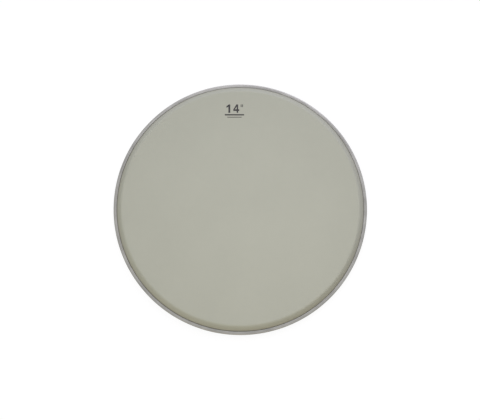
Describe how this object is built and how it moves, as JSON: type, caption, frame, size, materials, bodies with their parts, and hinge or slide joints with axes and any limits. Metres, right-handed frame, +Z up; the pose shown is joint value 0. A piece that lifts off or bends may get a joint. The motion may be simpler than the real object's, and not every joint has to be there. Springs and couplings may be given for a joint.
{
  "type": "drum head",
  "caption": "Round coated drum head: a formed polyester film with a sloping collar, locked by resin in a rolled aluminium channel hoop that goes over a drum shell.",
  "frame": {"origin": "centre of the hoop, on the plane of its foot", "axes": "+Z up through the playing face; +Y towards the printed size mark, +X to the mark's right"},
  "size_m": [0.3664, 0.3664, 0.0161],
  "materials": {
    "hoop_aluminium": "drawn satin",
    "joiner_aluminium": "mill",
    "polyester_film": "hazy gloss",
    "sprayed_coat": "fine sprayed grain",
    "cured_resin": "self-levelled gloss",
    "mark_ink": "screen print"
  },
  "bodies": {
    "root": {"flesh_hoop": "hoop_aluminium", "hoop_joiner": "joiner_aluminium", "drum_film": "polyester_film", "batter_coating": "sprayed_coat", "resin_fill": "cured_resin", "size_mark": "mark_ink"}
  },
  "joints": []
}
